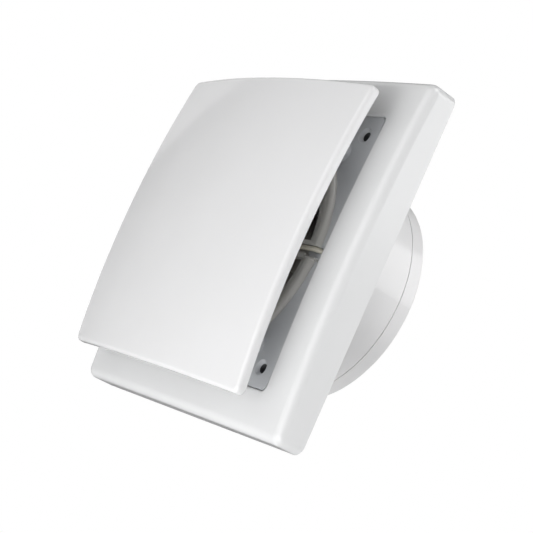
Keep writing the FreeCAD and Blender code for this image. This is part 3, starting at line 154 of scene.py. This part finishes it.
def layFloor(look):
    low = cadBounds[0][2] - look["below"]
    bpy.ops.object.select_all(action="DESELECT")
    bpy.ops.mesh.primitive_plane_add(size=2 * look["half"], location=(0, 0, low))
    floor = bpy.context.object
    floor.name = "floor"
    bpy.ops.object.transform_apply(location=True, rotation=True, scale=True)
    mat = bpy.data.materials.new("paleFloor")
    mat.use_nodes = True
    tree = mat.node_tree
    # the floor is seen pale, yet it throws no light of its own up at the fan
    paths = addNode(tree, "LightPath", {})
    glow = addNode(tree, "Math", {0: paths.outputs["Is Camera Ray"], 1: look["glow"]}, "MULTIPLY")
    fillSockets(tree, tree.nodes["Principled BSDF"], {
        "Base Color": look["colour"],
        "Roughness": look["rough"],
        "Emission Color": (1, 1, 1, 1),
        "Emission Strength": glow.outputs["Value"],
    })
    floor.data.materials.append(mat)


# rough runs from the smoothest to the roughest spot, grain is its noise scale, and bump is in thousandths
# of a millimetre
plastics = {
    "panelWhite": {
        "colour": (0.80, 0.80, 0.805), "drift": 0.012, "rough": (0.10, 0.12), "grain": 260, "bump": 1.5},
    "frameWhite": {
        "colour": (0.75, 0.754, 0.758), "drift": 0.012, "rough": (0.17, 0.20), "grain": 320, "bump": 2},
    # the housing's white plastic, given a darker bluish grey as painted shade for the shade it lies in
    # under the panel
    "platePaintedShade": {
        "colour": (0.555, 0.57, 0.59), "drift": 0.03, "rough": (0.30, 0.36), "grain": 700, "bump": 4},
    # the white plastic of parts inside the housing, given a darker grey as painted shade
    "innerPaintedShade": {
        "colour": (0.62, 0.62, 0.62), "drift": 0.03, "rough": (0.32, 0.42), "grain": 900, "bump": 6},
    "ductWhite": {
        "colour": (0.80, 0.797, 0.80), "drift": 0.012, "rough": (0.17, 0.20), "grain": 300, "bump": 2},
    # the motor bracket's white plastic, given a darker warm grey as painted shade for the shade it sits in
    # under the panel; the hidden motor cap shares it
    "bracketPaintedShade": {
        "colour": (0.50, 0.495, 0.47), "drift": 0.03, "rough": (0.28, 0.34), "grain": 700, "bump": 4},
    "impellerGrey": {
        "colour": (0.45, 0.43, 0.40), "drift": 0.05, "rough": (0.32, 0.40), "grain": 700, "bump": 6},
    "leadBeige": {
        "colour": (0.62, 0.59, 0.50), "drift": 0.05, "rough": (0.34, 0.42), "grain": 1800, "bump": 10},
    "creamBlock": {
        "colour": (0.72, 0.70, 0.62), "drift": 0.04, "rough": (0.4, 0.5), "grain": 1500, "bump": 10},
    "blackMoulding": {
        "colour": (0.03, 0.03, 0.032), "drift": 0.2, "rough": (0.45, 0.6), "grain": 1500, "bump": 20},
    "blackRubber": {
        "colour": (0.025, 0.025, 0.025), "drift": 0.2, "rough": (0.6, 0.75), "grain": 2200, "bump": 30},
    "nylon": {
        "colour": (0.72, 0.70, 0.62), "drift": 0.04, "rough": (0.4, 0.5), "grain": 1800, "bump": 10},
}

# stretch packs the grain closer along one axis, as turning and stacking do
metals = {
    "zincScrew": {
        "colour": (0.68, 0.69, 0.70), "drift": 0.06, "rough": (0.22, 0.36), "grain": 2500, "bump": 10},
    "groundShaft": {
        "colour": (0.62, 0.62, 0.64), "drift": 0.05, "rough": (0.18, 0.28), "grain": 2000, "bump": 6,
        "stretch": (1, 12, 1)},
    "laminations": {
        "colour": (0.40, 0.40, 0.42), "drift": 0.15, "rough": (0.35, 0.5), "grain": 600, "bump": 20,
        "stretch": (1, 20, 1)},
    "castAluminium": {
        "colour": (0.72, 0.72, 0.74), "drift": 0.08, "rough": (0.35, 0.5), "grain": 1200, "bump": 30},
    "enamelWire": {
        "colour": (0.56, 0.22, 0.09), "drift": 0.12, "rough": (0.22, 0.34), "grain": 1500, "bump": 20,
        "stretch": (1, 6, 1)},
    "bareCopper": {
        "colour": (0.76, 0.40, 0.24), "drift": 0.1, "rough": (0.25, 0.4), "grain": 1500, "bump": 10},
    "sinteredBronze": {
        "colour": (0.52, 0.38, 0.22), "drift": 0.12, "rough": (0.4, 0.55), "grain": 3000, "bump": 20},
    "turnedBrass": {
        "colour": (0.74, 0.58, 0.30), "drift": 0.08, "rough": (0.2, 0.32), "grain": 1500, "bump": 10,
        "stretch": (1, 8, 1)},
    "springSteel": {
        "colour": (0.56, 0.57, 0.60), "drift": 0.06, "rough": (0.22, 0.3), "grain": 2500, "bump": 6},
}

# shared by every finish: how coarse the colour's drift is, and where both noises count as low and high
noiseLook = {"cloud": 22.0, "cloudDetail": 3.0, "grainDetail": 2.0, "low": 0.3, "high": 0.7, "push": 0.6}
micrometre = 0.000001


def grainMaterial(name, look, metallic):
    mat = bpy.data.materials.new(name)
    mat.use_nodes = True
    tree = mat.node_tree
    low, high = noiseLook["low"], noiseLook["high"]
    coords = addNode(tree, "TexCoord", {})
    mapping = addNode(tree, "Mapping", {
        "Vector": coords.outputs["Object"],
        "Scale": look.get("stretch", (1, 1, 1)),
    })
    cloud = addNode(tree, "TexNoise", {     # slow drift of the colour
        "Vector": mapping.outputs["Vector"],
        "Scale": noiseLook["cloud"],
        "Detail": noiseLook["cloudDetail"],
    })
    grain = addNode(tree, "TexNoise", {     # fine skin of the piece
        "Vector": mapping.outputs["Vector"],
        "Scale": look["grain"],
        "Detail": noiseLook["grainDetail"],
    })
    ramp = addNode(tree, "ValToRGB", {"Fac": cloud.outputs["Fac"]})
    stops = ((low, 1 - look["drift"]), (high, 1 + look["drift"]))
    for stop, (position, tone) in zip(ramp.color_ramp.elements, stops):
        stop.position = position
        stop.color = [min(1.0, part * tone) for part in look["colour"]] + [1]
    rough = addNode(tree, "MapRange", {
        "Value": grain.outputs["Fac"],
        "From Min": low,
        "From Max": high,
        "To Min": look["rough"][0],
        "To Max": look["rough"][1],
    })
    bump = addNode(tree, "Bump", {
        "Height": grain.outputs["Fac"],
        "Strength": noiseLook["push"],
        "Distance": look["bump"] * micrometre,
    })
    fillSockets(tree, tree.nodes["Principled BSDF"], {
        "Metallic": metallic,
        "Base Color": ramp.outputs["Color"],
        "Roughness": rough.outputs["Result"],
        "Normal": bump.outputs["Normal"],
    })
    return mat


# painted shade in the screw bores: how dark the bore colour gets, and how far past the bore radius it fades
# out
screwHolePaintedShade = {"shade": 0.15, "edge": 1.06}


def paintShadeInScrewHoles(mat, look):
    # painted shade: below their countersinks, the colour of the wall screws' bores is darkened to stand in
    # for the shade that falls into them, and their roughness is raised
    pattern = next(mount["dims"] for mount in frame["record"]["mounts"] if mount["name"] == "wall_screws")
    radius = pattern["hole_r_mm"] / 1000
    corner = (pattern["spacing_x_mm"] / 2000, 0, pattern["spacing_y_mm"] / 2000)
    tree = mat.node_tree
    shader = tree.nodes["Principled BSDF"]
    colour = shader.inputs["Base Color"].links[0].from_socket
    rough = shader.inputs["Roughness"].links[0].from_socket
    coords = addNode(tree, "TexCoord", {})
    folded = addNode(tree, "VectorMath", {0: coords.outputs["Object"]}, "ABSOLUTE")
    moved = addNode(tree, "VectorMath", {0: folded.outputs["Vector"], 1: corner}, "SUBTRACT")
    flat = addNode(tree, "VectorMath", {0: moved.outputs["Vector"], 1: (1, 0, 1)}, "MULTIPLY")
    away = addNode(tree, "VectorMath", {0: flat.outputs["Vector"]}, "LENGTH")
    paintedShadeMask = addNode(tree, "MapRange", {
        "Value": away.outputs["Value"],
        "From Min": radius,
        "From Max": radius * look["edge"],
        "To Min": look["shade"],
        "To Max": 1.0,
    })
    paintedShadeColour = addNode(tree, "VectorMath", {0: colour, "Scale": paintedShadeMask.outputs["Result"]}, "SCALE")
    dull = addNode(tree, "Math", {0: 1.0, 1: paintedShadeMask.outputs["Result"]}, "SUBTRACT")
    rougher = addNode(tree, "Math", {0: rough, 1: dull.outputs["Value"]}, "MAXIMUM")
    fillSockets(tree, shader, {"Base Color": paintedShadeColour.outputs["Vector"], "Roughness": rougher.outputs["Value"]})


finishOf = {
    "frame": "frameWhite",
    "front_panel": "panelWhite",
    "housing": "platePaintedShade",
    "duct_tube": "ductWhite",
    "shutter_ring": "ductWhite",
    "right_flap": "ductWhite",
    "left_flap": "ductWhite",
    "flap_pin": "groundShaft",
    "right_flap_spring": "springSteel",
    "left_flap_spring": "springSteel",
    "motor_bracket": "bracketPaintedShade",
    "motor_cap": "bracketPaintedShade",
    "motor_lead": "leadBeige",
    "impeller": "impellerGrey",
    "impeller_nut": "turnedBrass",
    "stator_core": "laminations",
    "pole_bobbins": "blackMoulding",
    "pole_windings": "enamelWire",
    "shading_rings": "bareCopper",
    "rotor_core": "laminations",
    "rotor_cage": "castAluminium",
    "motor_shaft": "groundShaft",
    "front_bearing": "sinteredBronze",
    "rear_bearing": "sinteredBronze",
    "thrust_washers": "nylon",
    "cap_screws": "zincScrew",
    "bracket_screws": "zincScrew",
    "cover_screw": "zincScrew",
    "terminal_block": "creamBlock",
    "terminal_clamps": "turnedBrass",
    "terminal_screws": "zincScrew",
    "terminal_cover": "innerPaintedShade",
    "cable_grommet": "blackRubber",
}

finishes = {name: grainMaterial(name, look, 0.0) for name, look in plastics.items()}
finishes.update({name: grainMaterial(name, look, 1.0) for name, look in metals.items()})
paintShadeInScrewHoles(finishes["platePaintedShade"], screwHolePaintedShade)
for node, piece in nodes.items():
    piece.data.materials.clear()
    piece.data.materials.append(finishes[finishOf[node]])
print("finishes on", len(nodes), "pieces")

placeCamera(cameraLook)
for name, look in lamps.items():
    hangLamp(name, {**softbox, **look})
paintRoom(room)
layFloor(floorLook)
print("camera,", len(lamps), "lamps, room and floor set")
